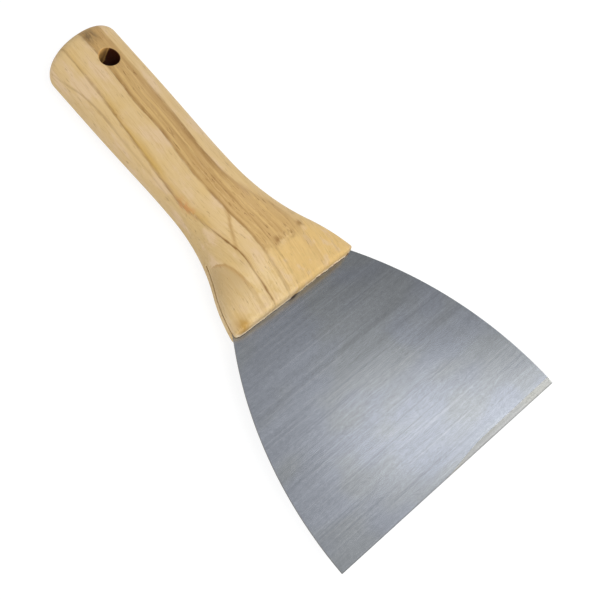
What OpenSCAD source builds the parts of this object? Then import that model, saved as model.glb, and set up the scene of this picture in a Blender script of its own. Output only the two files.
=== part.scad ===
// Putty knife: a fan-shaped steel blade bonded into a saw kerf in a one-piece wooden handle.
// The working edge faces -Y, the butt faces +Y and the blade lies in the XY plane.
// The origin is the middle of the whole tool.

/* [Blade] */
// Length of the working edge
edge_w = 100; // [80:1:125]
// Reach of the blade from the nose of the handle to the working edge
blade_reach = 76; // [66:1:90]
// Thickness of the sheet
blade_t = 0.8; // [0.5:0.05:1.5]
// How far the blade stands proud of each side of the nose where it leaves the handle
neck_proud = 1.1; // [0:0.1:2]
// How far the arc sides run on into the handle before they step in to the tang
run_in = 3; // [2.5:0.1:4]
// Width of the tang
tang_w = 28; // [20:1:30]
// Width of the ground bevel at the corner where it is widest
bevel_w = 2; // [1:0.1:4]
// Length of the working edge that the bevel covers before it runs out
bevel_run = 66; // [30:1:78]
// Depth of the bevel at the corner where it is widest
bevel_depth = 0.35; // [0.1:0.05:0.45]

/* [Handle] */
// Length of the handle from nose to butt
handle_l = 114; // [100:1:140]
// Width across the shoulders, where their arcs would run parallel
nose_w = 54.6; // [46:0.2:60]
// Distance ahead of the nose at which the shoulder arcs would run parallel
shoulder_lead = 10; // [4:0.5:14]
// Share of the flare that the outward-curving shoulder arcs take
shoulder_share = 0.48; // [0.3:0.01:0.6]
// Width at the waist, the narrowest place of the grip
waist_w = 26.5; // [24:0.5:32]
// Distance of the waist from the nose
waist_at = 47.5; // [42:0.5:58]
// Width where the grip is fullest
grip_w = 27.8; // [24:0.2:36]
// Distance of the fullest place of the grip from the nose
grip_at = 90; // [75:1:95]
// Thickness of the handle at the nose
nose_t = 17; // [13:0.2:21]
// Thickness of the handle at the grip
grip_t = 27.4; // [22:0.2:32]
// Distance from the nose at which the handle reaches the thickness of the grip
thick_at = 60; // [50:1:72]
// Squareness of the section at the nose: 2 is an ellipse, and more is boxier
nose_square = 4; // [2.4:0.1:6]
// Squareness of the section at the grip
grip_square = 2.1; // [2:0.1:3]
// Radius that eases the front of the nose
nose_round = 2.2; // [1:0.1:4]
// Radius that rounds the butt
butt_round = 5; // [2:0.1:7]

/* [Fit] */
// Depth of the saw kerf in the nose
kerf_depth = 26; // [20:1:34]
// Adhesive between the sheet and each wall of the kerf
bond_gap = 0.15; // [0.1:0.05:0.3]
// Adhesive between the end of the tang and the end of the kerf
tang_end_gap = 1; // [0.5:0.1:2]
// How far the adhesive stays back from the surface of the handle
bond_setback = 0.8; // [0.4:0.1:1.5]

/* [Hanging hole] */
// Diameter of the hole
hole_d = 7; // [5:0.5:9]
// Distance of the hole's axis from the butt
hole_from_butt = 14.4; // [11:0.2:20]
// Distance of the hole's axis from the middle of the grip, as drilled
hole_off = 0.8; // [0:0.1:2]

/* [Hidden] */

// Places along the tool
edge_y = -(blade_reach + handle_l) / 2;
nose_y = edge_y + blade_reach;
butt_y = nose_y + handle_l;
tang_end_y = nose_y + kerf_depth - tang_end_gap;
kerf_t = blade_t + 2 * bond_gap;

// Two tangent arcs carry the plan of the handle from the shoulders to the waist
flare_rise = (nose_w - waist_w) / 2;
flare_run = waist_at + shoulder_lead;
flare_radii = (flare_run * flare_run + flare_rise * flare_rise) / (2 * flare_rise);
shoulder_r = flare_radii * shoulder_share;
waist_r = flare_radii - shoulder_r;
turn_at = flare_run * shoulder_share - shoulder_lead;

// The blade's sides leave the working edge square to it and reach the nose as single arcs
neck_half = half_width(0) + neck_proud;
side_draw = edge_w / 2 - neck_half;
side_r = (blade_reach * blade_reach + side_draw * side_draw) / (2 * side_draw);

// Fineness of the curved surfaces
$fn = 96;
section_sides = 44;
end_steps = 5;
flare_steps = 18;
grip_steps = 6;
// How far a cutter passes the surface that it cuts
overcut = 1;

function ease(t) = let (u = min(max(t, 0), 1)) u * u * (3 - 2 * u);
function blend(a, b, t) = a + (b - a) * ease(t);
function signed_power(v, e) = sign(v) * pow(abs(v), e);

// Half width, half thickness and squareness of the handle at a distance from the nose
function half_width(s) =
    s < turn_at ? nose_w / 2 - shoulder_r + sqrt(pow(shoulder_r, 2) - pow(s + shoulder_lead, 2))
    : s < waist_at ? waist_w / 2 + waist_r - sqrt(pow(waist_r, 2) - pow(waist_at - s, 2))
    : blend(waist_w, grip_w, (s - waist_at) / (grip_at - waist_at)) / 2;
function half_thick(s) = blend(nose_t, grip_t, s / thick_at) / 2;
function squareness(s) = blend(nose_square, grip_square, s / thick_at);

// How far the eased ends draw the section in, as quarter rounds
function round_in(r, d) = d < r ? r - sqrt(r * r - pow(r - d, 2)) : 0;
function draw_in(s) = round_in(nose_round, s) + round_in(butt_round, handle_l - s);

// One superellipse section of the handle
function section(s) =
    let (w = half_width(s) - draw_in(s), h = half_thick(s) - draw_in(s), e = 2 / squareness(s))
    [for (i = [0 : section_sides - 1])
        let (a = 360 * i / section_sides)
        [w * signed_power(cos(a), e), nose_y + s, h * signed_power(sin(a), e)]];

// Stations of the loft: close together on the eased ends, evenly spaced between
function span(from, to, steps) = [for (i = [0 : steps - 1]) from + (to - from) * i / steps];
nose_stations = [for (i = [0 : end_steps - 1]) nose_round * (1 - cos(90 * i / end_steps))];
butt_stations = [for (i = [0 : end_steps]) handle_l - butt_round * (1 - sin(90 * i / end_steps))];
stations = concat(nose_stations,
                  span(nose_round, waist_at, flare_steps),
                  span(waist_at, handle_l - butt_round, grip_steps),
                  butt_stations);

// A closed skin over the sections, with flat ends
module loft(sections) {
    rings = len(sections);
    sides = len(sections[0]);
    points = [for (ring = sections) each ring];
    walls = [for (r = [0 : rings - 2], i = [0 : sides - 1])
        let (a = r * sides + i, b = r * sides + (i + 1) % sides)
        each [[a, b, b + sides], [a, b + sides, a + sides]]];
    front = [for (i = [sides - 1 : -1 : 0]) i];
    back = [for (i = [0 : sides - 1]) (rings - 1) * sides + i];
    polyhedron(points = points, faces = concat([front, back], walls));
}

// The slit that a saw leaves across the nose
module kerf() {
    translate([-nose_w / 2 - overcut, nose_y - overcut, -kerf_t / 2])
        cube([nose_w + 2 * overcut, kerf_depth + overcut, kerf_t]);
}

module hanging_hole() {
    translate([hole_off, butt_y - hole_from_butt, 0])
        cylinder(d = hole_d, h = grip_t + 2 * overcut, center = true);
}

module handle() {
    color("burlywood")
        difference() {
            loft([for (s = stations) section(s)]);
            kerf();
            hanging_hole();
        }
}

// The fan between its two side arcs, which run on a little way into the kerf
module fan_outline() {
    intersection() {
        translate([side_r - edge_w / 2, edge_y])
            circle(r = side_r);
        translate([edge_w / 2 - side_r, edge_y])
            circle(r = side_r);
        translate([-edge_w / 2 - overcut, edge_y])
            square([edge_w + 2 * overcut, blade_reach + run_in]);
    }
}

module tang_outline() {
    translate([-tang_w / 2, nose_y])
        square([tang_w, tang_end_y - nose_y]);
}

module blade_outline() {
    fan_outline();
    tang_outline();
}

// The wedge that grinding takes off the upper face, full at one corner and run out along the edge
module ground_bevel() {
    skew = atan(bevel_w / bevel_run);
    run_in = edge_w / 2 - bevel_run;
    slope = atan(bevel_depth / (bevel_w * cos(skew)));
    translate([run_in, edge_y, blade_t / 2])
        rotate([0, 0, skew])
            rotate([slope, 0, 0])
                translate([-edge_w, -edge_w, 0])
                    cube([3 * edge_w, edge_w, edge_w]);
}

module blade() {
    color("silver")
        difference() {
            translate([0, 0, -blade_t / 2])
                linear_extrude(blade_t)
                    blade_outline();
            ground_bevel();
        }
}

// Plan of the kerf inside the handle, held back from its surface
module bond_outline() {
    bond_stations = [for (i = [0 : flare_steps])
        bond_setback + (kerf_depth - bond_setback) * i / flare_steps];
    right = [for (s = bond_stations) [half_width(s) - draw_in(s) - bond_setback, nose_y + s]];
    left = [for (i = [flare_steps : -1 : 0]) [-right[i][0], right[i][1]]];
    polygon(concat(right, left));
}

module tang_adhesive() {
    color("peru")
        difference() {
            translate([0, 0, -kerf_t / 2])
                linear_extrude(kerf_t)
                    bond_outline();
            translate([0, 0, -blade_t / 2])
                linear_extrude(blade_t)
                    blade_outline();
        }
}

handle();
blade();
tang_adhesive();
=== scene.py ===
"""Putty knife: a fan-shaped steel blade in a turned wooden handle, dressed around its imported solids.

The working edge faces -Y, the butt faces +Y and the blade lies in the XY plane. Lengths are in metres.
"""

import math
from functools import reduce

import bmesh
import bpy
import numpy as np
from bpy.props import FloatProperty, FloatVectorProperty, PointerProperty
from mathutils import Matrix, Vector


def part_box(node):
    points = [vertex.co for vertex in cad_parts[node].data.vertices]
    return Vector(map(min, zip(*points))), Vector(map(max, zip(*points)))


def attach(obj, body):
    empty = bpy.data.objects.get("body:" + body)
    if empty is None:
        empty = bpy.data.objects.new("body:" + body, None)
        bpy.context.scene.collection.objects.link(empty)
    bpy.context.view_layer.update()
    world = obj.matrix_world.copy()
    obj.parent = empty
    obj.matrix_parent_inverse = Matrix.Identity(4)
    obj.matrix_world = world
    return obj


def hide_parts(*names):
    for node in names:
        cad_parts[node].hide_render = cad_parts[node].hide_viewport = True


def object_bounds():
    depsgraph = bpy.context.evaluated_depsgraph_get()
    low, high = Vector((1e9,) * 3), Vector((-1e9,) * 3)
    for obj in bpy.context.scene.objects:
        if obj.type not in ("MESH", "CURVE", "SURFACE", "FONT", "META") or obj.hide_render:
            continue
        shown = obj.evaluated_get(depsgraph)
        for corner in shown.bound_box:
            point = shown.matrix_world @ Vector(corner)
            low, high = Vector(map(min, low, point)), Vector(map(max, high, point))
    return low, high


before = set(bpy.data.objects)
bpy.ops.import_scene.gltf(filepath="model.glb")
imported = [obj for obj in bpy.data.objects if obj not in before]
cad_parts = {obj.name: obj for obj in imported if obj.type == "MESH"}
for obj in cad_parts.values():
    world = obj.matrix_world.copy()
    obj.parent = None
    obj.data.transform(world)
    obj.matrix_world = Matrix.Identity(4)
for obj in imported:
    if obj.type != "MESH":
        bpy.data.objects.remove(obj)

bl_info = {
    "name": "Putty Knife",
    "version": (1, 0, 0),
    "blender": (4, 5, 0),
    "location": "View3D > Sidebar > Putty Knife",
    "description": "Builds the handle, blade, adhesive and stage of a wooden-handled putty knife",
    "category": "Add Mesh",
}

MM = 0.001
CAD_BOX = [list(corner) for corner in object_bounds()]
HANDLE_LOW, HANDLE_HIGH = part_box("handle")
BLADE_LOW, BLADE_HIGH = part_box("blade")
NOSE_Y, BUTT_Y = HANDLE_LOW.y, HANDLE_HIGH.y
EDGE_Y = BLADE_LOW.y
BODY = "root"
# Turns the upper half into the lower half
FLIP = np.array([1, 1, -1])
# Points across the handle's upper half
SKIN_COLUMNS = 145
# Place of the chip at the mouth of the kerf
CHIP_X = -0.9 * MM
FLOOR_GAP = 0.2 * MM
BRUSH_MAP = "brush"
BROAD_LIGHT = "broad_light"


def shade(red, green, blue):
    """An 8-bit display colour as the linear colour that a shader takes."""
    c = np.array([red, green, blue]) / 255
    return tuple(np.where(c <= 0.04045, c / 12.92, ((c + 0.055) / 1.055) ** 2.4))


def scaled(colour, share):
    """A colour made darker or lighter by a share."""
    return tuple(part * share for part in colour)


def number_prop(name, description, default, **limits):
    return FloatProperty(name=name, description=description, default=default, **limits)


def length_prop(name, description, default):
    return number_prop(name, description, default, min=0.0, unit="LENGTH", subtype="DISTANCE", precision=5)


def colour_prop(name, description, default):
    return FloatVectorProperty(name=name, description=description, default=default, size=3, min=0.0, max=1.0,
                               subtype="COLOR")


def power_prop(name, lamp, default):
    return number_prop(name, f"Power of the {lamp}, in watts", default)


class HandleSettings(bpy.types.PropertyGroup):
    """Sizes of the wooden handle, measured from the front of its nose."""

    length: length_prop("Length", "Nose to butt", BUTT_Y - NOSE_Y)
    nose_width: length_prop("Nose width", "Width where the shoulder arcs would run parallel", 54.6 * MM)
    shoulder_lead: length_prop("Shoulder lead", "How far ahead of the nose the arcs would run parallel", 10 * MM)
    shoulder_share: number_prop("Shoulder share", "The shoulder arcs' share of the flare", 0.48, min=0.3, max=0.6)
    waist_width: length_prop("Waist width", "Width at the narrowest place", 26.5 * MM)
    waist_at: length_prop("Waist place", "Distance of the waist from the nose", 47.5 * MM)
    grip_width: length_prop("Grip width", "Width where the grip is fullest", 27.8 * MM)
    grip_at: length_prop("Grip place", "Distance of the fullest place from the nose", 90 * MM)
    nose_thickness: length_prop("Nose thickness", "Thickness at the nose", 17 * MM)
    grip_thickness: length_prop("Grip thickness", "Thickness at the grip", HANDLE_HIGH.z - HANDLE_LOW.z)
    thick_at: length_prop("Full thickness at", "Where the handle reaches the grip's thickness", 60 * MM)
    nose_square: number_prop("Nose squareness", "Power of the superellipse at the nose", 4.0, min=2.0, max=8.0)
    grip_square: number_prop("Grip squareness", "Power of the superellipse at the grip", 2.1, min=2.0, max=8.0)
    nose_round: length_prop("Nose rounding", "Radius that eases the front of the nose", 2.2 * MM)
    butt_round: length_prop("Butt rounding", "Radius that rounds the butt", 4 * MM)
    kerf_depth: length_prop("Kerf depth", "Depth of the saw kerf in the nose", 26 * MM)
    kerf_height: length_prop("Kerf height", "Height of the saw kerf", 1.1 * MM)
    hole_radius: length_prop("Hole radius", "Radius of the hanging hole", 3.5 * MM)
    hole_from_butt: length_prop("Hole place", "Distance of the hole's axis from the butt", 14.4 * MM)
    hole_off: length_prop("Hole offset", "Distance of the hole's axis from the middle", 0.8 * MM)
    hole_ease: length_prop("Hole rim", "Radius that eases the rim of the hole", 0.45 * MM)
    butt_slant: length_prop("Butt slant", "How far the butt falls back across its width", 0.4 * MM)
    arris_wear: length_prop("Arris wear", "How far the front of the nose is worn back", 0.35 * MM)
    ragged: length_prop("Ragged arris", "Depth of the ragged front arris", 0.9 * MM)
    lip: length_prop("Lip", "How far the mouth of the kerf is eased open", 0.3 * MM)
    chip: length_prop("Chip", "Height of the chip at the mouth of the kerf", 1.4 * MM)


class BladeSettings(bpy.types.PropertyGroup):
    """Sizes of the steel blade."""

    edge_width: length_prop("Edge width", "Length of the working edge", BLADE_HIGH.x - BLADE_LOW.x)
    reach: length_prop("Reach", "From the nose of the handle to the working edge", NOSE_Y - EDGE_Y)
    neck_width: length_prop("Neck width", "Width where the blade leaves the handle", 55.13 * MM)
    thickness: length_prop("Thickness", "Thickness of the sheet", BLADE_HIGH.z - BLADE_LOW.z)
    run_in: length_prop("Run in", "How far the arc sides run on into the handle", 3 * MM)
    tang_width: length_prop("Tang width", "Width of the tang", 28 * MM)
    edge_skew: length_prop("Edge skew", "How far the working edge is ground out of square", 0.6 * MM)
    bevel_width: length_prop("Bevel width", "Width of the ground bevel at the corner where it is widest", 2.6 * MM)
    bevel_run: length_prop("Bevel run", "Length of the edge that the bevel covers before it runs out", 56 * MM)
    bevel_depth: length_prop("Bevel depth", "Depth of the bevel where it is widest", 0.35 * MM)


class FinishSettings(bpy.types.PropertyGroup):
    """Colours of the wood, steel and adhesive."""

    pale: colour_prop("Pale wood", "Smooth late wood between the ring lines", shade(218, 188, 137))
    honey: colour_prop("Honey wood", "Warmer wood beside the ring lines and on the nose", shade(217, 184, 122))
    band: colour_prop("Brown band", "Porous early wood", shade(197, 160, 103))
    fringe: colour_prop("Fringe", "Golden wood along the heart line", shade(203, 165, 90))
    arch: colour_prop("Arch", "Greyer wood inside the arch on the nose", shade(194, 165, 117))
    rust: colour_prop("Rust", "Rusty flecks at the waist", shade(206, 142, 82))
    deep: colour_prop("Deep band", "Darkest streaks of the brown band", shade(184, 146, 90))
    line: colour_prop("Ring line", "Dark line where a ring starts", shade(142, 101, 52))
    core: colour_prop("Inner wood", "Greyer wood nearest the pith", shade(209, 179, 126))
    blush: colour_prop("Blush", "Pinker patches", shade(222, 193, 155))
    # The two nose colours paint the nose brighter than the wood behind it, partly as painted light; the pale one also
    # colours pale fibres.
    nose_pale: colour_prop("Pale nose", "Bright wood on the pith's side of the nose", shade(231, 204, 155))
    nose_warm: colour_prop("Warm nose", "Bright wood on the far side of the nose", shade(225, 188, 120))
    # The arris colour is a painted highlight along the lower edge of the nose beside the blade.
    arris: colour_prop("Arris", "Pale worn edge along the blade", shade(246, 228, 196))
    pore: colour_prop("Pores", "Open pores and fibres", shade(130, 90, 48))
    stain: colour_prop("Stain", "Brown stain at the front corner", shade(186, 144, 70))
    smudge: colour_prop("Smudge", "Grey smudge at the butt", shade(132, 106, 72))
    # This colour paints the shade on the hole's wall, and the bore colour below paints the light on one side of it.
    hole_shade: colour_prop("Scorch", "Wall of the drilled hole", shade(60, 24, 8))
    bore: colour_prop("Bore", "Paler wood on the hole's wall", shade(228, 178, 104))
    steel: colour_prop("Steel", "Brushed sheet", (0.403, 0.43, 0.484))
    scratch: colour_prop("Scratches", "Bright brush marks on the sheet", (0.72, 0.74, 0.76))
    ground: colour_prop("Ground steel", "The bevel", (0.79, 0.8, 0.79))
    sheared: colour_prop("Sheared edge", "Sides of the sheet", (0.2, 0.2, 0.2))
    resin: colour_prop("Adhesive", "Cured resin in the kerf", shade(120, 86, 50))


class StageSettings(bpy.types.PropertyGroup):
    """Camera, floor and light."""

    camera_place: FloatVectorProperty(name="Camera", description="Place of the camera", subtype="TRANSLATION",
                                      unit="LENGTH", default=(-0.17155, -0.08214, 0.34579))
    camera_turn: FloatVectorProperty(name="Camera turn", description="Euler angles of the camera", subtype="EULER",
                                     default=tuple(math.radians(a) for a in (24.365, -13.821, -42.614)))
    lens: number_prop("Lens", "Focal length on a 36 mm sensor, in millimetres", 71.88)
    lens_shift: FloatVectorProperty(name="Lens shift", description="Shift of the picture, as shares of its width",
                                    size=2, default=(-0.0018, 0.0018), precision=5)
    ceiling_level: number_prop("Ceiling level", "Strength of the tent's ceiling, where its walls are 1", 0.288)
    key_power: power_prop("Key light", "large soft light", 6.6)
    fill_power: power_prop("Fill light", "low light from the right", 0.5)
    left_power: power_prop("Left light", "low light from the left", 0.2)
    front_power: power_prop("Front light", "low light on the nose", 0.42)
    strip_power: power_prop("Strip light", "narrow light that the steel shows", 0.33)
    wing_power: power_prop("Wing light", "strip's short upper arm", 0.014)
    panel_power: power_prop("Panel light", "wide light that the steel shows", 0.29)
    bevel_power: power_prop("Bevel light", "light that the bevel shows", 0.19)


def ease(t):
    """Smooth step from 0 to 1: 3t^2 - 2t^3, held at its ends."""
    u = np.clip(t, 0, 1)
    return u * u * (3 - 2 * u)


def blend(a, b, t):
    return a + (b - a) * ease(t)


def half_width(form, s):
    """Half width at distance s from the nose: a shoulder arc, the tangent waist arc, then an eased swell."""
    rise = (form.nose_width - form.waist_width) / 2
    run = form.waist_at + form.shoulder_lead
    radii = (run * run + rise * rise) / (2 * rise)
    shoulder = radii * form.shoulder_share
    waist = radii - shoulder
    turn_at = run * form.shoulder_share - form.shoulder_lead
    outer = form.nose_width / 2 - shoulder + np.sqrt(np.maximum(shoulder ** 2 - (s + form.shoulder_lead) ** 2, 0))
    inner = form.waist_width / 2 + waist - np.sqrt(np.maximum(waist ** 2 - (form.waist_at - s) ** 2, 0))
    grip = blend(form.waist_width, form.grip_width, (s - form.waist_at) / (form.grip_at - form.waist_at)) / 2
    return np.where(s < turn_at, outer, np.where(s < form.waist_at, inner, grip))


def draw_in(form, s):
    """How far the eased ends draw the section in: a quarter round at the nose and one at the butt."""
    def quarter(r, d):
        return np.where(d < r, r - np.sqrt(np.maximum(r * r - (r - d) ** 2, 0)), 0)
    return quarter(form.nose_round, s) + quarter(form.butt_round, form.length - s)


def section_sizes(form, s):
    """Half width, half thickness and superellipse power of the section at distance s from the nose."""
    inset = draw_in(form, s)
    grown = s / form.thick_at
    half_thick = blend(form.nose_thickness, form.grip_thickness, grown) / 2
    return half_width(form, s) - inset, half_thick - inset, blend(form.nose_square, form.grip_square, grown)


def crown(form, x, s):
    """Height of the upper skin over the plan: h (1 - |x/w|^p)^(1/p)."""
    w, h, p = section_sizes(form, s)
    return h * np.maximum(1 - np.abs(x / w) ** p, 0) ** (1 / p)


def stations(form):
    """Distances from the nose: fine on the eased ends, even between, with one on the end of the kerf."""
    end_points, kerf_points, flare_points, grip_points = 12, 34, 28, 100
    turn = np.linspace(0, math.pi / 2, end_points)
    nose = form.nose_round * (1 - np.cos(turn))
    butt = form.length - form.butt_round * (1 - np.sin(turn))
    kerf = np.linspace(form.nose_round, form.kerf_depth, kerf_points)
    flare = np.linspace(form.kerf_depth, form.waist_at, flare_points)
    grip = np.linspace(form.waist_at, form.length - form.butt_round, grip_points)
    return np.concatenate([nose, kerf[1:], flare[1:], grip[1:], butt[1:]])


def worn(form, points):
    """The handle as it was worked and worn. Each change moves the surface inwards.

    The butt falls back towards -X, by its slant times an eased share of its last stretch. The front of the nose is
    worn back evenly and, near the blade, by the mean of three folded sines in x, which grows towards +X. At the mouth
    of the kerf an eased lip and one chip, a bell in x and s, lift the wall. Both fade out behind the front.
    """
    butt_fade, front_fade, mouth_fade, wall_fade = 10 * MM, 1.8 * MM, 1.5 * MM, 1.8 * MM
    chip_width, chip_depth, left_share = 1.7 * MM, 1.2 * MM, 0.3
    ragged_height, ragged_fade, right_start, right_fade = 3.5 * MM, 3 * MM, 2 * MM, 6 * MM
    sines = ((0.9 * MM, 0), (0.37 * MM, 1), (2.3 * MM, 0))
    x, y, z = np.moveaxis(points, -1, 0)
    s, height = y - NOSE_Y, np.abs(z)
    slant = form.butt_slant * (0.5 - x / form.grip_width) * ease((s - form.length + butt_fade) / butt_fade)
    waves = sum(np.abs(np.sin(x / pitch + shift)) for pitch, shift in sines) / len(sines)
    low = 1 - ease((height - ragged_height) / ragged_fade)
    right = blend(left_share, 1, (x - right_start) / right_fade)
    worn_back = (form.arris_wear + form.ragged * waves * low * right) * (1 - ease(s / front_fade))
    chip = form.chip * np.exp(-((x - CHIP_X) / chip_width) ** 2 - (s / chip_depth) ** 2)
    near_blade = 1 - ease((height - form.kerf_height / 2) / wall_fade)
    lift = (form.lip + chip) * (1 - ease(s / mouth_fade)) * near_blade
    return np.stack([x, y - slant + worn_back, z + lift], -1)


def upper_skin(form, s):
    """Upper half of the loft. At each angle the section's radius is (|cos|^p + |sin|^p)^(-1/p), stretched to the
    half width and half thickness. The angles start where the section meets the upper wall of the kerf."""
    w, h, p = (size[:, None] for size in section_sizes(form, s))
    share = (form.kerf_height / 2 / h) ** p
    start = np.arctan((share / (1 - share)) ** (1 / p))
    angle = start + (math.pi - 2 * start) * np.linspace(0, 1, SKIN_COLUMNS)[None, :]
    c, d = np.cos(angle), np.sin(angle)
    reach = (np.abs(c) ** p + np.abs(d) ** p) ** (-1 / p)
    x = w * reach * c
    z = h * reach * d
    y = np.broadcast_to(NOSE_Y + s[:, None], x.shape)
    skin = np.stack([x, y, z], -1)
    skin[:, [0, -1], 2] = form.kerf_height / 2
    return skin


def ruled(a, b, rows):
    """Straight lines from curve a to curve b, as a grid of rows."""
    t = np.linspace(0, 1, rows)[:, None, None]
    return a[None] * (1 - t) + b[None] * t


def hole_rings(form, rim):
    """Rings from the bore's wall, round its eased rim and out to a closed border on the skin.

    Each border point faces the point of the bore circle at its own bearing. The rim is a quarter round of the
    ease radius, and beyond it the rings follow the crown of the skin in straight plan lines to the border.
    """
    rim_points, field_points, field_spread = 6, 10, 1.4
    centre = np.array([form.hole_off, BUTT_Y - form.hole_from_butt])
    plan = rim[:, :2] - centre
    bearing = np.arctan2(plan[:, 1], plan[:, 0])
    ray = np.stack([np.cos(bearing), np.sin(bearing)], -1)
    turn = np.linspace(0, math.pi / 2, rim_points)
    radius = form.hole_radius + form.hole_ease * (1 - np.cos(turn))
    drop = form.hole_ease * (1 - np.sin(turn))
    lip_plan = centre + radius[:, None, None] * ray[None]
    outer = (form.hole_radius + form.hole_ease) * ray
    t = np.linspace(0, 1, field_points)[1:, None, None] ** field_spread
    field_plan = centre + outer[None] * (1 - t) + plan[None] * t
    place = np.concatenate([lip_plan, field_plan])
    drop = np.concatenate([drop, np.zeros(len(t))])[:, None]
    z = crown(form, place[..., 0], place[..., 1] - NOSE_Y) - drop
    rings = np.concatenate([place, z[..., None]], -1)
    rings[-1] = rim
    return rings


def border(grid, rows, cols):
    """The closed run of grid points round the block of cells between two rows and two columns."""
    (i0, i1), (j0, j1) = rows, cols
    near, right, far, left = grid[i0, j0:j1], grid[i0:i1, j1], grid[i1, j1:j0:-1], grid[i1:i0:-1, j0]
    return np.concatenate([near, right, far, left, near[:1]])


def cells(grid, keep=None):
    """Four corner points of each cell of a grid, in order round it, apart from the cells left out."""
    quads = np.stack([grid[:-1, :-1], grid[1:, :-1], grid[1:, 1:], grid[:-1, 1:]], 2)
    return quads[keep] if keep is not None else quads.reshape(-1, 4, 3)


def welded_mesh(name, quads, smooth_angle):
    """One closed mesh from loose cells: equal points become one, and a cell that shrank to a corner a triangle."""
    decimals = 9
    points, index = np.unique(np.round(quads.reshape(-1, 3), decimals), axis=0, return_inverse=True)
    corners = index.reshape(-1, 4)
    same = corners == np.roll(corners, -1, axis=1)
    whole = corners[~same.any(axis=1)]
    single = same.sum(axis=1) == 1
    thirds = corners[single][~same[single]].reshape(-1, 3)
    mesh = bpy.data.meshes.new(name)
    mesh.from_pydata(points.tolist(), [], whole.tolist() + thirds.tolist())
    shell = bmesh.new()
    shell.from_mesh(mesh)
    bmesh.ops.recalc_face_normals(shell, faces=shell.faces)
    shell.to_mesh(mesh)
    shell.free()
    mesh.shade_smooth()
    mesh.set_sharp_from_angle(angle=smooth_angle)
    return mesh


def straight_across(side):
    """Level lines from points on the handle's right side to its left side."""
    share = np.linspace(1, -1, SKIN_COLUMNS)[None, :, None]
    return side[:, None] * np.array([0, 1, 1]) + share * side[:, None] * np.array([1, 0, 0])


def hole_block(form, s, skin):
    """Rows and columns of the block of skin that the hole's rings replace."""
    margin = 6.2 * MM
    hole_s = form.length - form.hole_from_butt
    rows = tuple(np.searchsorted(s, [hole_s - margin, hole_s + margin]))
    level = skin[rows[0], :, 0]
    return rows, tuple(np.searchsorted(-level, [-(form.hole_off + margin), -(form.hole_off - margin)]))


def side_strips(form, s, skin):
    """Strips that join the two halves behind the kerf, through the widest line of each side."""
    side = skin[:, [0, -1]]
    middle = side * np.array([0, 1, 0])
    middle[..., 0] = np.sign(side[..., 0]) * section_sizes(form, s)[0][:, None]
    middle[[0, -1], :, 0] = side[[0, -1], :, 0]
    return [cells(worn(form, np.stack([side[:, k], middle[:, k], side[:, k] * FLIP], 1))) for k in (0, 1)]


def handle_quads(form):
    """Every cell of the handle: skin, eased hole, kerf walls and flat ends, with the lower half mirrored."""
    front_rows, butt_rows, bore_rows, strip_rows = 6, 8, 12, 3
    s = stations(form)
    skin = upper_skin(form, s)
    rows, cols = hole_block(form, s, skin)
    keep = np.ones((len(s) - 1, SKIN_COLUMNS - 1), bool)
    keep[slice(*rows), slice(*cols)] = False
    rings = hole_rings(form, border(skin, rows, cols))
    kerf_end = int(np.argmin(np.abs(s - form.kerf_depth)))
    wall = straight_across(skin[:kerf_end + 1, 0])
    butt_line = straight_across(skin[-1:, 0])[0]
    front, butt = ruled(skin[0], wall[0], front_rows), ruled(skin[-1], butt_line, butt_rows)
    upper = worn(form, np.concatenate([cells(skin, keep), *(cells(grid) for grid in (rings, wall, front, butt))]))
    lower = upper[:, ::-1] * FLIP
    bore = ruled(rings[0], rings[0] * FLIP, bore_rows)
    kerf_back = ruled(wall[-1], wall[-1] * FLIP, strip_rows)
    butt_strip = worn(form, ruled(butt_line, butt_line * FLIP, strip_rows))
    joins = [cells(grid) for grid in (bore, kerf_back, butt_strip)]
    return np.concatenate([upper, lower, *joins, *side_strips(form, s[kerf_end:], skin[kerf_end:])])


def blade_half_width(form, y):
    """Half width at distance y from the working edge: a single arc that leaves the edge square to it."""
    draw = (form.edge_width - form.neck_width) / 2
    radius = (form.reach ** 2 + draw ** 2) / (2 * draw)
    return form.edge_width / 2 - radius + np.sqrt(radius ** 2 - y ** 2)


def edge_line(form, x):
    """Distance of the working edge from the sheet's square end: it is ground back evenly towards -X."""
    return form.edge_skew * (0.5 - x / form.edge_width)


def bevel_line(form, x):
    """Width of the ground bevel at x: it widens quickly from its run-out, then slowly to the right corner."""
    quick_run, quick_share, least_share = 22 * MM, 0.75, 0.004
    run = x - form.edge_width / 2 + form.bevel_run
    grown = quick_share * ease(run / quick_run) + (1 - quick_share) * np.clip(run / form.bevel_run, 0, 1)
    return form.bevel_width * np.maximum(grown, least_share)


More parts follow.
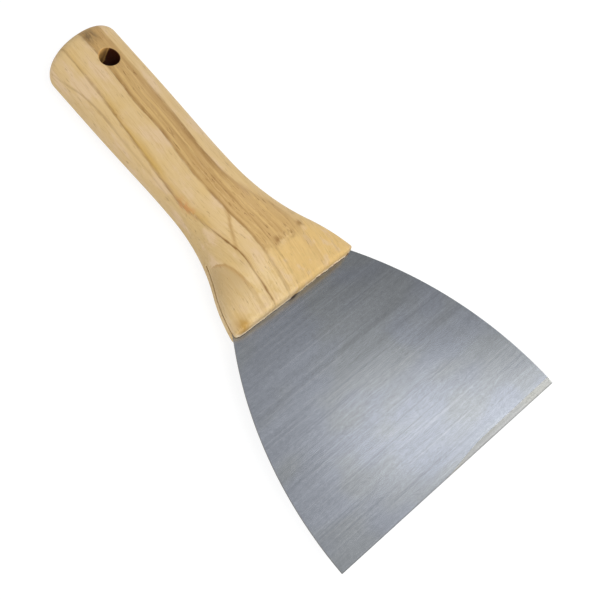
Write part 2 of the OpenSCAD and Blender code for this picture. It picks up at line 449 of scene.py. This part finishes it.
def blade_quads(form, tang_end):
    """Cells of the whole sheet: the fan, the tang behind it, the sheared rim and the ground bevel on the upper face.

    The fan's columns are shares of its half width, with one on each side of the tang. The bevel's depth falls evenly
    from the working edge to nothing at its inner line.
    """
    flank_cells, tang_cells, rim_rows = 40, 80, 3
    bevel_points, fan_points, fan_spread, tang_points = 7, 90, 1.25, 12
    tang_end_column = flank_cells + tang_cells
    fan_end = form.reach + form.run_in
    neck = blade_half_width(form, fan_end)
    flank = np.linspace(form.tang_width / 2 / neck, 1, flank_cells + 1)
    middle = np.linspace(-flank[0], flank[0], tang_cells + 1)
    columns = np.concatenate([-flank[::-1], middle[1:-1], flank])
    bevel_rows = np.linspace(0, 1, bevel_points)[:, None]
    edge_x = columns[None] * form.edge_width / 2
    low = edge_line(form, edge_x) + bevel_rows * bevel_line(form, edge_x)
    up = np.linspace(0, 1, fan_points)[1:, None] ** fan_spread
    y = np.concatenate([low, low[-1:] + (fan_end - low[-1:]) * up])
    x = columns[None] * blade_half_width(form, y)
    share = np.maximum(1 - (y - edge_line(form, x)) / bevel_line(form, x), 0)
    depth = form.bevel_depth * bevel_line(form, x) / form.bevel_width * share
    fan = np.stack([x, EDGE_Y + y, form.thickness / 2 - depth], -1)
    tang_y = np.linspace(EDGE_Y + fan_end, tang_end, tang_points)[:, None]
    tang = np.stack(np.broadcast_arrays(x[-1:, flank_cells:tang_end_column + 1], tang_y, form.thickness / 2), -1)

    def underside(points):
        return np.concatenate([points[..., :2], np.full_like(points[..., :1], -form.thickness / 2)], -1)

    faces = [cells(grid) for grid in (fan, underside(fan)[:, ::-1], tang, underside(tang)[:, ::-1])]
    shoulders = (fan[-1, :flank_cells + 1], fan[-1, tang_end_column:])
    rims = (fan[:, 0], fan[:, -1], fan[0], *shoulders, tang[:, 0], tang[:, -1], tang[-1])
    return np.concatenate(faces + [cells(ruled(rim, underside(rim), rim_rows)) for rim in rims])


class Graph:
    """The node tree of a new material or world, with short calls for the nodes used here."""

    def __init__(self, name, kind="materials"):
        self.owner = getattr(bpy.data, kind).new(name)
        self.owner.use_nodes = True
        self.tree = self.owner.node_tree
        self.tree.nodes.clear()

    def node(self, kind, inputs=None, **settings):
        """A node with its settings, and its inputs linked or set by name or number."""
        made = self.tree.nodes.new(kind)
        for key, value in settings.items():
            setattr(made, key, value)
        for key, value in (inputs or {}).items():
            self.feed(value, made.inputs[key])
        return made

    def feed(self, value, socket):
        if isinstance(value, bpy.types.NodeSocket):
            self.tree.links.new(value, socket)
        elif socket.type == "RGBA" and len(value) == 3:
            socket.default_value = (*value, 1.0)
        else:
            socket.default_value = value

    def math(self, operation, a, b=0.0):
        return self.node("ShaderNodeMath", {0: a, 1: b}, operation=operation).outputs[0]

    def add(self, a, b):
        return self.math("ADD", a, b)

    def sub(self, a, b):
        return self.math("SUBTRACT", a, b)

    def mul(self, a, b):
        return self.math("MULTIPLY", a, b)

    def swing(self, noise, width):
        """Noise as a swing to both sides of zero, with this whole width."""
        return self.mul(self.sub(noise, 0.5), width)

    def span(self, share, low, high):
        """A share between 0 and 1 as a value between two limits."""
        return self.node("ShaderNodeMapRange", {0: share, 3: low, 4: high}).outputs[0]

    def hump(self, value, centre, reach):
        """A smooth hump of height 1 at the centre, which ends at its reach on both sides."""
        return self.step(self.math("ABSOLUTE", self.sub(value, centre)), 0.0, reach, 1.0, 0.0)

    def vector(self, operation, a, b):
        return self.node("ShaderNodeVectorMath", {0: a, 1: b}, operation=operation).outputs[0]

    def mix(self, share, a, b, mode="MIX"):
        return self.node("ShaderNodeMix", {0: share, 6: a, 7: b}, data_type="RGBA", blend_type=mode).outputs[2]

    def step(self, value, low, high, start=0.0, end=1.0):
        """Smooth step of a value between two limits."""
        return self.node("ShaderNodeMapRange", {0: value, 1: low, 2: high, 3: start, 4: end},
                         interpolation_type="SMOOTHSTEP").outputs[0]

    def noise(self, place, stretch, detail=2.0, roughness=0.5):
        """Noise over a place in millimetres, with its own count of waves per millimetre along each axis."""
        return self.node("ShaderNodeTexNoise", {"Vector": self.vector("MULTIPLY", place, stretch), "Scale": 1.0,
                                                "Detail": detail, "Roughness": roughness}).outputs[0]

    def curve(self, value, points, low, high):
        """A smooth curve through (value, result) points, with its results between two limits."""
        first, last = points[0][0], points[-1][0]
        share = self.node("ShaderNodeMapRange", {0: value, 1: first, 2: last}).outputs[0]
        made = self.node("ShaderNodeFloatCurve", {"Value": share})
        line = made.mapping.curves[0]
        while len(line.points) < len(points):
            line.points.new(0.5, 0.5)
        for point, (at, result) in zip(line.points, points):
            point.location = ((at - first) / (last - first), (result - low) / (high - low))
        made.mapping.update()
        return self.span(made.outputs[0], low, high)

    def place_mm(self):
        """Object coordinates in millimetres, and their three parts."""
        at = self.node("ShaderNodeTexCoord").outputs["Object"]
        place = self.vector("MULTIPLY", at, (1 / MM, 1 / MM, 1 / MM))
        return place, self.node("ShaderNodeSeparateXYZ", {0: place}).outputs

    def bump(self, height, distance, strength=1.0):
        return self.node("ShaderNodeBump", {"Height": height, "Distance": distance, "Strength": strength}).outputs[0]

    def surface(self, **inputs):
        shader = self.node("ShaderNodeBsdfPrincipled", {k.replace("_", " "): v for k, v in inputs.items()})
        self.node("ShaderNodeOutputMaterial", {"Surface": shader.outputs[0]})
        return self.owner


# Grain lines of the upper face: distance from the nose, place across the handle in mm, and strength
HEART_LINE = ((0, -11.8, 0.2), (5, -10.7, 0.9), (12, -9.8, 0.55), (20, -9.2, 1.0), (27, -10.6, 1.0), (35, -11.7, 0.5),
              (47, -12.3, 0.8), (60, -11.7, 0.6), (78, -10.5, 0.7), (95, -9.4, 0.5), (114, -8.9, 0.5))
BAND_LINE = ((0, -5.6, 0.1), (6, -4.2, 0.5), (13, -2.8, 0.5), (23, -2.5, 0.7), (34, -3.6, 0.8), (55, -4.2, 0.6),
             (68, -3.0, 0.9), (81, -3.1, 1.0), (95, -2.0, 0.8), (114, -1.7, 0.5))
MIDDLE_LINE = ((0, -0.8, 0.1), (6, 0.4, 0.3), (16, 1.7, 0.5), (30, 1.4, 0.6), (44, 0.1, 0.7), (57, 0.1, 0.5),
               (70, 0.2, 0.3), (85, 0.8, 0.2), (114, 2.4, 0.2))
FAR_LINE = ((0, 12.0, 0.1), (10, 12.8, 0.25), (20, 13.4, 0.3), (28, 11.0, 0.3), (36, 7.0, 0.3), (44, 4.4, 0.6),
            (55, 3.7, 1.0), (67, 4.5, 0.8), (78, 5.0, 0.4), (114, 5.8, 0.3))
ARCH_LINE = ((0, -15.3, 0.1), (4, -14.8, 0.5), (9, -14.1, 0.6), (15, -14.0, 1.0), (19, -15.0, 0.9), (22, -16.7, 1.0),
             (26, -23.0, 0.6))
BRANCH_LINE = ((20, -10.0, 0.0), (24, -8.5, 0.8), (29, -6.2, 1.0), (33, -4.0, 1.0), (36, -3.4, 0.0))
# A faint grain line of the left flank: distance from the nose, height in mm, and strength
FLANK_LINE = ((36, 2.6, 0.0), (50, 4.2, 0.3), (64, 5.4, 0.4), (73, 5.9, 0.5), (81, 6.6, 0.9), (89, 6.8, 1.0),
              (95, 6.3, 0.9), (106, 3.2, 0.5), (114, 1.5, 0.3))
# Blotches at the front of the brown band: place across the handle and distance from the nose, in mm
BLOTCHES = ((14.6, 17.4), (9.4, 16.2), (4.0, 17.0))


class WoodGraph(Graph):
    """Graph of the handle's wood, with the fields that its layers of colour share.

    Places are in millimetres: x across the handle, z up and s back from the nose. The wood is solid through the
    handle: its ring lines lean with height and wander a little, and the fibres follow them.
    """

    def __init__(self, finish, form):
        super().__init__("handle_wood")
        self.finish, self.form = finish, form
        self.place, (self.x, y, self.z) = self.place_mm()
        self.s = self.sub(y, NOSE_Y / MM)
        self.height = self.math("ABSOLUTE", self.z)
        self.patch = self.noise(self.place, (0.16, 0.07, 0.16), 3.0, 0.55)
        self.ragged = self.step(self.noise(self.place, (0.7, 0.4, 0.7), 3.0), 0.35, 0.6)
        self.upright = self.add(self.x, self.mul(self.sub(self.z, 11.0), 0.06))
        self.wander = self.swing(self.noise(self.place, (1.2, 0.12, 1.2), 4.0, 0.6), 1.3)
        self.heart, self.heart_dark = self.grain_line(HEART_LINE, 0.5, 0.7)
        self.edge, self.edge_dark = self.grain_line(BAND_LINE, 0.4, 1.3)
        self.far, self.far_dark = self.grain_line(FAR_LINE, 2.4, 0.6)
        between = self.mul(self.add(self.heart, self.edge), 0.5)
        self.flow = self.node("ShaderNodeCombineXYZ", {0: between, 1: y, 2: self.z}).outputs[0]
        self.streak = self.noise(self.flow, (1.1, 0.02, 0.25), 4.0, 0.62)
        self.fibre = self.noise(self.flow, (3.6, 0.06, 0.8), 4.0, 0.65)
        self.pores = self.step(self.noise(self.flow, (4.2, 0.16, 1.6), 2.0, 0.5), 0.62, 0.72)
        self.band = self.band_share()

    def grain_line(self, points, rise, fall, across=None):
        """Distance from a line, and its darkness: a rise on its near side and a fall on its far side."""
        limit = 30.0
        at = self.curve(self.s, [(along, place) for along, place, _ in points], -limit, limit)
        strength = self.curve(self.s, [(along, share) for along, _, share in points], 0.0, 1.0)
        off = self.add(self.sub(self.upright if across is None else across, at), self.wander)
        dark = self.mul(self.step(off, -rise, 0.0), self.step(off, 0.0, fall, 1.0, 0.0))
        return off, self.mul(dark, strength)

    def lay(self, colour, paint, *shares):
        """A colour of the finish laid over another colour, by the product of its shares."""
        return self.mix(reduce(self.mul, shares), colour, getattr(self.finish, paint))

    def spot(self, at_x, at_s, reach_x, reach_s):
        return self.mul(self.hump(self.x, at_x, reach_x), self.hump(self.s, at_s, reach_s))

    def band_share(self):
        """Where the brown band lies: from the band line to the far line, back from a ragged end on the nose."""
        front = self.add(self.add(self.s, self.swing(self.patch, 9.0)), self.swing(self.ragged, 2.4))
        reach = self.mul(self.add(self.far, self.swing(self.streak, 4.0)), self.step(self.s, 34.0, 50.0, 0.2, 1.0))
        band = self.mul(self.step(self.edge, -0.1, 0.5), self.step(reach, -0.7, 0.8, 1.0, 0.0))
        return self.mul(band, self.step(front, 13.5, 18.0, 0.0, 0.85))


def wood_ground(g):
    """Pale wood, greyer outside the heart line, with pink and honey patches."""
    colour = g.lay(g.finish.pale, "core", g.step(g.heart, -0.3, 0.3, 1.0, 0.0), g.step(g.s, 36.0, 64.0, 1.0, 0.15))
    colour = g.lay(colour, "blush", g.step(g.patch, 0.48, 0.64, 0.0, 0.8))
    return g.lay(colour, "honey", g.step(g.patch, 0.3, 0.5, 0.5, 0.0))


def wood_nose_and_painted_light(g, colour):
    """The nose painted brighter, partly painted light and partly the wood's own colour: mottled, and warm on the side
    of the band.
    """
    # Painted light in part: this share makes the front of the nose brighter.
    nose = g.step(g.add(g.s, g.swing(g.patch, 8.0)), 11.0, 19.0, 1.0, 0.0)
    warm = g.step(g.add(g.upright, g.swing(g.streak, 8.0)), -7.0, 3.0)
    colour = g.mix(g.mul(nose, 0.75), colour, g.lay(g.finish.nose_pale, "nose_warm", warm))
    mottle = g.noise(g.place, (0.34, 0.2, 0.34), 3.0, 0.6)
    colour = g.lay(colour, "honey", nose, g.step(mottle, 0.5, 0.68, 0.0, 0.75))
    colour = g.lay(colour, "blush", nose, g.step(mottle, 0.34, 0.48, 0.6, 0.0))
    return g.lay(colour, "band", nose, g.step(g.streak, 0.52, 0.7, 0.0, 0.5))


def wood_arch(g, colour):
    """The arch on the left of the nose, browner away from the front, which fades out down the flank."""
    arch, dark = g.grain_line(ARCH_LINE, 1.5, 0.7)
    within = g.mul(g.step(arch, -1.2, 0.2, 1.0, 0.0), g.step(g.s, 3.0, 16.0, 0.05, 0.85))
    colour = g.lay(colour, "arch", within, g.step(g.z, -3.0, 6.5, 0.1, 1.0))
    return g.lay(colour, "deep", dark, g.step(g.z, 1.0, 7.0, 0.0, 0.85))


def wood_band(g, colour):
    """The broad brown band, streaked along the grain and blotched where it ends on the nose."""
    colour = g.lay(colour, "band", g.band)
    colour = g.lay(colour, "deep", g.band, g.step(g.s, 32.0, 46.0, 0.0, 0.35))
    for at_x, at_s in BLOTCHES:
        colour = g.lay(colour, "line", g.spot(at_x, at_s, 2.0, 2.4), g.mul(g.ragged, 0.8))
    colour = g.lay(colour, "deep", g.band, g.step(g.streak, 0.5, 0.64, 0.0, 0.8))
    return g.lay(colour, "honey", g.band, g.step(g.streak, 0.36, 0.48, 0.7, 0.0))


def wood_lines(g, colour):
    """The grain lines, broken in places, with a golden fringe along the heart line."""
    fringe = g.mul(g.step(g.heart, -0.2, 0.3), g.step(g.heart, 0.3, 2.6, 1.0, 0.0))
    fringe = g.mul(fringe, g.step(g.math("ABSOLUTE", g.sub(g.s, 60.0)), 18.0, 36.0, 0.9, 0.35))
    colour = g.lay(colour, "fringe", fringe, g.step(g.patch, 0.35, 0.6, 1.0, 0.6))
    _, branch_dark = g.grain_line(BRANCH_LINE, 1.3, 1.0)
    colour = g.lay(colour, "deep", branch_dark, 0.8)
    _, middle_dark = g.grain_line(MIDDLE_LINE, 0.5, 0.6)
    broken = g.step(g.noise(g.place, (0.5, 0.2, 0.5), 3.0, 0.6), 0.3, 0.6, 0.55, 1.0)
    for dark, share in ((g.heart_dark, 1.0), (g.edge_dark, 0.9), (middle_dark, 0.7), (g.far_dark, 0.75)):
        colour = g.lay(colour, "line", dark, broken, share)
    _, flank_dark = g.grain_line(FLANK_LINE, 0.6, 0.8, g.z)
    return g.lay(colour, "line", flank_dark, g.step(g.x, -9.0, -6.0, 0.45, 0.0))


def wood_stains(g, colour):
    """Stains: the front corner, the waist, a fleck on the shoulder and a smudge at the butt."""
    colour = g.lay(colour, "stain", g.spot(-23.6, 1.6, 3.6, 5.4), g.add(g.mul(g.ragged, 0.2), 0.8))
    colour = g.lay(colour, "rust", g.hump(g.heart, 0.4, 1.6), g.hump(g.s, 44.0, 7.0), g.mul(g.ragged, 0.8))
    colour = g.lay(colour, "pore", g.hump(g.heart, 0.0, 0.8), g.hump(g.s, 26.0, 1.4))
    return g.lay(colour, "smudge", g.spot(0.3, 109.3, 4.0, 4.4), g.add(g.mul(g.ragged, 0.8), 0.5))


def wood_arris_highlight(g, colour):
    """A painted highlight along the lower arris of the nose beside the blade, and painted shade in the notch of the
    chip.
    """
    # Painted highlight: a pale band low on the front of the nose.
    arris = g.mul(g.step(g.height, 0.7, 1.0), g.step(g.height, 1.8, 3.4, 0.85, 0.0))
    colour = g.lay(colour, "arris", arris, g.step(g.s, 1.0, 1.8, 1.0, 0.0))
    # Painted shade: the notch of the chip darkened with the pore colour.
    chip = g.mul(g.step(g.height, 2.2, 3.4, 1.0, 0.0), g.step(g.s, 2.0, 3.0, 1.0, 0.0))
    return g.lay(colour, "pore", g.hump(g.x, CHIP_X / MM, 2.6), chip)


def wood_fibres(g, colour):
    """Fine fibres, pores that open most in the brown band, and short dark dashes."""
    colour = g.lay(colour, "band", g.step(g.fibre, 0.5, 0.75, 0.0, 0.6))
    colour = g.lay(colour, "nose_pale", g.step(g.fibre, 0.28, 0.45, 0.35, 0.0))
    colour = g.lay(colour, "pore", g.pores, g.add(g.mul(g.band, 0.55), 0.22))
    dashes = g.noise(g.flow, (2.0, 0.2, 0.8), 2.0)
    return g.lay(colour, "line", g.step(dashes, 0.66, 0.74, 0.0, 0.45))


def wood_end_grain(g, colour):
    """End grain on the butt: darker, with rings across it and open pores."""
    butt = g.form.length / MM
    end = g.step(g.s, butt - 2.0, butt - 0.6)
    rings = g.noise(g.place, (1.3, 0.02, 0.16), 3.0, 0.6)
    colour = g.lay(colour, "deep", end, g.step(rings, 0.4, 0.65, 0.15, 0.75))
    specks = g.noise(g.place, (2.6, 0.1, 2.6), 2.0)
    return g.lay(colour, "pore", end, g.step(specks, 0.6, 0.7, 0.0, 0.5))


def wood_hole_shade_and_light(g, colour):
    """Painted shade and light in the drilled hole: a dark wall, a painted lit crescent on one side that is paler
    towards the mouth, and a pale line along the crescent's edge.
    """
    radius = g.form.hole_radius / MM
    away_x = g.sub(g.x, g.form.hole_off / MM)
    away_s = g.sub(g.s, (g.form.length - g.form.hole_from_butt) / MM)
    away = g.math("SQRT", g.add(g.mul(away_x, away_x), g.mul(away_s, away_s)))
    inside = g.step(away, radius + 0.02, radius + 0.25, 1.0, 0.0)
    facing = g.sub(g.mul(away_s, 0.59), g.mul(away_x, 0.81))
    facing = g.add(facing, g.swing(g.noise(g.place, (0.5, 0.5, 0.4), 3.0), 1.6))
    facing = g.add(facing, g.mul(g.sub(g.height, 12.0), 0.2))
    # Painted light: the crescent of the wall that the light reaches, paler towards the mouth.
    lit = g.mul(g.step(facing, -0.5, 0.3), g.step(facing, 0.6, 3.4, 0.3, 1.0))
    wall = g.lay(g.finish.hole_shade, "bore", lit, g.step(g.height, 2.0, 9.0))
    # Painted highlight: a pale line along the shadow edge of the crescent.
    wall = g.lay(wall, "bore", g.hump(facing, 0.1, 0.5), 0.35)
    return g.mix(inside, colour, wall)


# Layers over the ground colour, in order
WOOD_LAYERS = (wood_nose_and_painted_light, wood_arch, wood_band, wood_lines, wood_stains, wood_arris_highlight, wood_fibres, wood_end_grain,
               wood_hole_shade_and_light)


def wood_material(finish, form):
    """Bare, sanded, ring-porous wood: its ground colour with each layer mixed over it, and open pores."""
    g = WoodGraph(finish, form)
    colour = wood_ground(g)
    for layer in WOOD_LAYERS:
        colour = layer(g, colour)
    return g.surface(Base_Color=colour, Roughness=g.span(g.fibre, 0.5, 0.7), Specular_IOR_Level=0.3,
                     Normal=g.bump(g.sub(g.fibre, g.pores), 0.08 * MM, 0.6))


def steel_material(name, finish, form, steel):
    """Steel brushed along the working edge: long and short fine marks, broader bands, slow clouding, warmer patches,
    bright and dark scratches, and a dark burr along the edge.

    The distance from the edge is y less the edge's own place, which is ground back evenly towards -X.
    """
    g = Graph(name)
    place, (x, y, _) = g.place_mm()
    long_marks = g.noise(place, (0.02, 1.25, 1.0), 1.0, 0.5)
    short_marks = g.noise(place, (0.7, 1.25, 1.0), 1.0)
    bands = g.noise(place, (0.018, 0.3, 1.0), 3.0, 0.55)
    cloud = g.noise(place, (0.03, 0.06, 1.0), 2.0)
    tone = g.add(g.swing(long_marks, 0.11), g.swing(bands, 0.26))
    tone = g.add(tone, g.add(g.swing(cloud, 0.16), g.swing(short_marks, 0.19)))
    dark = scaled(steel, 0.7)
    colour = g.mix(g.step(tone, -0.3, 0.3), dark, scaled(steel, 1.3))
    warm = g.step(g.noise(place, (0.045, 0.07, 1.0), 1.0), 0.42, 0.62)
    colour = g.mix(warm, colour, (1.01, 1.0, 0.94), "MULTIPLY")
    scratch = g.noise(place, (0.025, 2.0, 1.0), 0.0)
    colour = g.mix(g.step(scratch, 0.66, 0.78, 0.0, 0.12), colour, finish.scratch)
    colour = g.mix(g.step(scratch, 0.22, 0.34, 0.3, 0.0), colour, dark)
    skew = form.edge_skew / MM
    from_edge = g.add(g.sub(y, EDGE_Y / MM + skew / 2), g.mul(x, skew / (form.edge_width / MM)))
    colour = g.mix(g.step(from_edge, 0.1, 0.5, 0.55, 0.0), colour, finish.sheared)
    tangent = g.node("ShaderNodeTangent", direction_type="UV_MAP", uv_map=BRUSH_MAP).outputs[0]
    return g.surface(Base_Color=colour, Metallic=1.0, Roughness=g.span(bands, 0.2, 0.26), Anisotropic=0.2,
                     Tangent=tangent, Normal=g.bump(long_marks, 0.01 * MM, 0.04))


def sheared_material(finish):
    """The rough sheared sides of the sheet."""
    g = Graph("blade_sheared_edge")
    place, _ = g.place_mm()
    grit = g.noise(place, (3.0, 3.0, 3.0), 3.0)
    colour = g.mix(grit, scaled(finish.sheared, 0.7), scaled(finish.sheared, 1.4))
    return g.surface(Base_Color=colour, Metallic=1.0, Roughness=0.55, Normal=g.bump(grit, 0.02 * MM))


def resin_material(finish):
    """Cured adhesive: a brown resin with a little cloud and fine bubbles."""
    g = Graph("adhesive_resin")
    place, _ = g.place_mm()
    cloud = g.noise(place, (0.6, 0.6, 0.6), 4.0)
    colour = g.mix(cloud, scaled(finish.resin, 0.6), scaled(finish.resin, 1.3))
    return g.surface(Base_Color=colour, Roughness=0.35, Normal=g.bump(cloud, 0.05 * MM))


def brush_map(mesh, width):
    """A UV map in shares of a width, with its first direction along the tool and square to the brush marks."""
    place = np.empty(len(mesh.vertices) * 3)
    mesh.vertices.foreach_get("co", place)
    corner = np.empty(len(mesh.loops), int)
    mesh.loops.foreach_get("vertex_index", corner)
    layer = mesh.uv_layers.new(name=BRUSH_MAP)
    layer.uv.foreach_set("vector", (place.reshape(-1, 3)[corner][:, [1, 0]] / width).ravel())


def blade_faces(mesh):
    """The material number of each face, by the upward part of its normal: 0 the sheet, 1 the bevel and 2 the rim."""
    steepest_bevel, flattest_bevel = 0.5, 0.998
    normal = np.empty(len(mesh.polygons) * 3)
    mesh.polygons.foreach_get("normal", normal)
    upward = normal.reshape(-1, 3)[:, 2]
    bevel = (upward > 0) & (upward < flattest_bevel)
    return np.where(np.abs(upward) < steepest_bevel, 2, np.where(bevel, 1, 0)).astype(np.int32)


def broad_light_group():
    """The collection of pieces that the broad lamps leave out."""
    return bpy.data.collections.get(BROAD_LIGHT) or bpy.data.collections.new(BROAD_LIGHT)


def leave_out_of_broad_light(piece):
    group = broad_light_group()
    group.objects.link(piece)
    group.collection_objects[0].light_linking.link_state = "EXCLUDE"


def new_object(name, data):
    made = bpy.data.objects.new(name, data)
    bpy.context.scene.collection.objects.link(made)
    return made


def add_piece(mesh, node, slot, *materials):
    """A new object for a mesh, which rides on the part's body and stands for a solid."""
    piece = new_object(mesh.name, mesh)
    for material in materials:
        mesh.materials.append(material)
    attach(piece, BODY)
    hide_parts(node)
    return piece


class PUTTY_OT_handle(bpy.types.Operator):
    """Build the turned wooden handle with its saw kerf and hanging hole"""

    bl_idname = "putty.handle"
    bl_label = "Handle"

    def execute(self, context):
        scene = context.scene
        mesh = welded_mesh("wooden_handle", handle_quads(scene.putty_handle), smooth_angle=math.radians(40))
        add_piece(mesh, "handle", "handle_wood", wood_material(scene.putty_finish, scene.putty_handle))
        return {"FINISHED"}


class PUTTY_OT_blade(bpy.types.Operator):
    """Build the fan-shaped blade with its ground bevel and tang"""

    bl_idname = "putty.blade"
    bl_label = "Blade"

    def execute(self, context):
        scene = context.scene
        form, finish = scene.putty_blade, scene.putty_finish
        mesh = welded_mesh("steel_blade", blade_quads(form, BLADE_HIGH.y), smooth_angle=math.radians(3))
        brush_map(mesh, form.edge_width)
        piece = add_piece(mesh, "blade", "blade_steel", steel_material("blade_steel", finish, form, finish.steel),
                          steel_material("blade_bevel", finish, form, finish.ground), sheared_material(finish))
        mesh.polygons.foreach_set("material_index", blade_faces(mesh))
        leave_out_of_broad_light(piece)
        return {"FINISHED"}


class PUTTY_OT_adhesive(bpy.types.Operator):
    """Give the cured adhesive in the kerf its finish"""

    bl_idname = "putty.adhesive"
    bl_label = "Adhesive"

    def execute(self, context):
        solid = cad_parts["tang_adhesive"]
        solid.data.materials.clear()
        solid.data.materials.append(resin_material(context.scene.putty_finish))
        return {"FINISHED"}


# Soft lamps: name, place, target, direction of the second side, both sides, and whether the lamp lights the steel
LAMPS = (
    ("key", (-0.28, -0.46, 0.97), (0.0, -0.03, 0.0), (0.0, 1.0, 0.0), (0.5, 0.5), False),
    ("fill", (0.5, 0.1, 0.27), (0.0, 0.03, 0.0), (0.0, 1.0, 0.0), (0.3, 0.3), False),
    ("left", (-0.5, 0.05, 0.2), (0.0, 0.0, 0.0), (0.0, 1.0, 0.0), (0.3, 0.3), False),
    ("front", (0.0, -0.6, 0.22), (0.0, -0.02, 0.0), (0.0, 0.0, 1.0), (0.4, 0.1), False),
    ("strip", (0.545, -0.158, 0.785), (0.0, -0.08, 0.0), (-0.862, 0.507, 0.1), (0.065, 0.48), True),
    ("wing", (0.35, 0.035, 0.785), (0.0, -0.04, 0.0), (-0.47, 0.88, 0.1), (0.05, 0.18), True),
    ("panel", (0.15, -0.235, 0.8), (0.0, -0.08, 0.0), (0.0, 0.97, 0.2), (0.38, 0.73), True),
    ("bevel", (0.46, -0.46, 0.7), (0.05, -0.09, 0.0), (0.0, 0.8, 0.5), (0.24, 0.2), True),
)


def area_light(name, place, target, along, size, power, on_steel):
    """A rectangular soft light at a place, turned to a target, with its second side along a direction.

    A lamp that isn't on the steel leaves the blade out by light linking, and shows in no reflection.
    """
    lamp = bpy.data.lights.new(name, "AREA")
    lamp.shape = "RECTANGLE"
    lamp.size, lamp.size_y = size
    lamp.energy = power
    made = new_object(name, lamp)
    back = (Vector(place) - Vector(target)).normalized()
    across = Vector(along).cross(back).normalized()
    turn = Matrix((across, back.cross(across), back)).transposed()
    made.matrix_world = Matrix.Translation(place) @ turn.to_4x4()
    if not on_steel:
        made.visible_glossy = False
        made.light_linking.receiver_collection = broad_light_group()


def pale_floor(level):
    """A wide flat floor, white to the camera and to reflections, that still takes the tool's soft shadow."""
    reach, bounced_white, shown_white, glow_strength = 6.0, 0.8, 0.22, 0.85
    mesh = bpy.data.meshes.new("floor")
    corners = [(-reach, -reach, level), (reach, -reach, level), (reach, reach, level), (-reach, reach, level)]
    mesh.from_pydata(corners, [], [(0, 1, 2, 3)])
    floor = new_object("floor", mesh)
    g = Graph("floor_white")
    path = g.node("ShaderNodeLightPath").outputs
    seen = g.math("MAXIMUM", path["Is Camera Ray"], path["Is Glossy Ray"])
    seen = g.math("MAXIMUM", seen, path["Is Transmission Ray"])
    bounced = g.node("ShaderNodeBsdfDiffuse", {"Color": (bounced_white,) * 3}).outputs[0]
    shadowed = g.node("ShaderNodeBsdfDiffuse", {"Color": (shown_white,) * 3}).outputs[0]
    glow = g.node("ShaderNodeEmission", {"Color": (1, 1, 1), "Strength": glow_strength}).outputs[0]
    shown = g.node("ShaderNodeAddShader", {0: shadowed, 1: glow}).outputs[0]
    face = g.node("ShaderNodeMixShader", {0: seen, 1: bounced, 2: shown}).outputs[0]
    g.node("ShaderNodeOutputMaterial", {"Surface": face})
    mesh.materials.append(g.owner)


def tent_world(ceiling_level):
    """A studio tent: white walls round the horizon that shade off to a greyer ceiling."""
    walls_end, ceiling_start, wall_level = 0.05, 0.6, 1.0
    g = Graph("studio", "worlds")
    bpy.context.scene.world = g.owner
    way = g.node("ShaderNodeTexCoord").outputs["Generated"]
    up = g.node("ShaderNodeSeparateXYZ", {0: way}).outputs["Z"]
    strength = g.step(up, walls_end, ceiling_start, wall_level, ceiling_level)
    sky = g.node("ShaderNodeBackground", {"Color": (1, 1, 1), "Strength": strength}).outputs[0]
    g.node("ShaderNodeOutputWorld", {"Surface": sky})


def add_camera(scene, stage):
    camera = bpy.data.cameras.new("camera")
    camera.sensor_width, camera.clip_start = 36.0, 0.01
    camera.lens = stage.lens
    camera.shift_x, camera.shift_y = stage.lens_shift
    eye = new_object("camera", camera)
    eye.location = stage.camera_place
    eye.rotation_euler = stage.camera_turn
    scene.camera = eye


class PUTTY_OT_stage(bpy.types.Operator):
    """Set up the camera, the pale floor and the soft light"""

    bl_idname = "putty.stage"
    bl_label = "Stage"

    def execute(self, context):
        scene = context.scene
        stage = scene.putty_stage
        add_camera(scene, stage)
        scene.view_settings.view_transform = "Standard"
        pale_floor(CAD_BOX[0][2] - FLOOR_GAP)
        tent_world(stage.ceiling_level)
        for name, place, target, along, size, on_steel in LAMPS:
            area_light(name, place, target, along, size, getattr(stage, name + "_power"), on_steel)
        return {"FINISHED"}


class PUTTY_PT_panel(bpy.types.Panel):
    """The tool's sizes, colours and build steps"""

    bl_label = "Putty Knife"
    bl_idname = "PUTTY_PT_panel"
    bl_space_type = "VIEW_3D"
    bl_region_type = "UI"
    bl_category = "Putty Knife"

    def draw(self, context):
        for title, name in GROUPS:
            box = self.layout.box()
            box.label(text=title)
            group = getattr(context.scene, name)
            for key in group.__annotations__:
                box.prop(group, key)
        for operator in STEPS:
            self.layout.operator(operator.bl_idname)


GROUPS = (("Handle", "putty_handle"), ("Blade", "putty_blade"), ("Finish", "putty_finish"), ("Stage", "putty_stage"))
SETTINGS = (HandleSettings, BladeSettings, FinishSettings, StageSettings)
STEPS = (PUTTY_OT_stage, PUTTY_OT_handle, PUTTY_OT_blade, PUTTY_OT_adhesive)
CLASSES = (*SETTINGS, *STEPS, PUTTY_PT_panel)


def register():
    for cls in CLASSES:
        bpy.utils.register_class(cls)
    for (_, name), cls in zip(GROUPS, SETTINGS):
        setattr(bpy.types.Scene, name, PointerProperty(type=cls))


def unregister():
    for _, name in GROUPS:
        delattr(bpy.types.Scene, name)
    for cls in reversed(CLASSES):
        bpy.utils.unregister_class(cls)


def main():
    register()
    bpy.ops.putty.stage()
    bpy.ops.putty.handle()
    bpy.ops.putty.blade()
    bpy.ops.putty.adhesive()


if __name__ == "__main__":
    main()
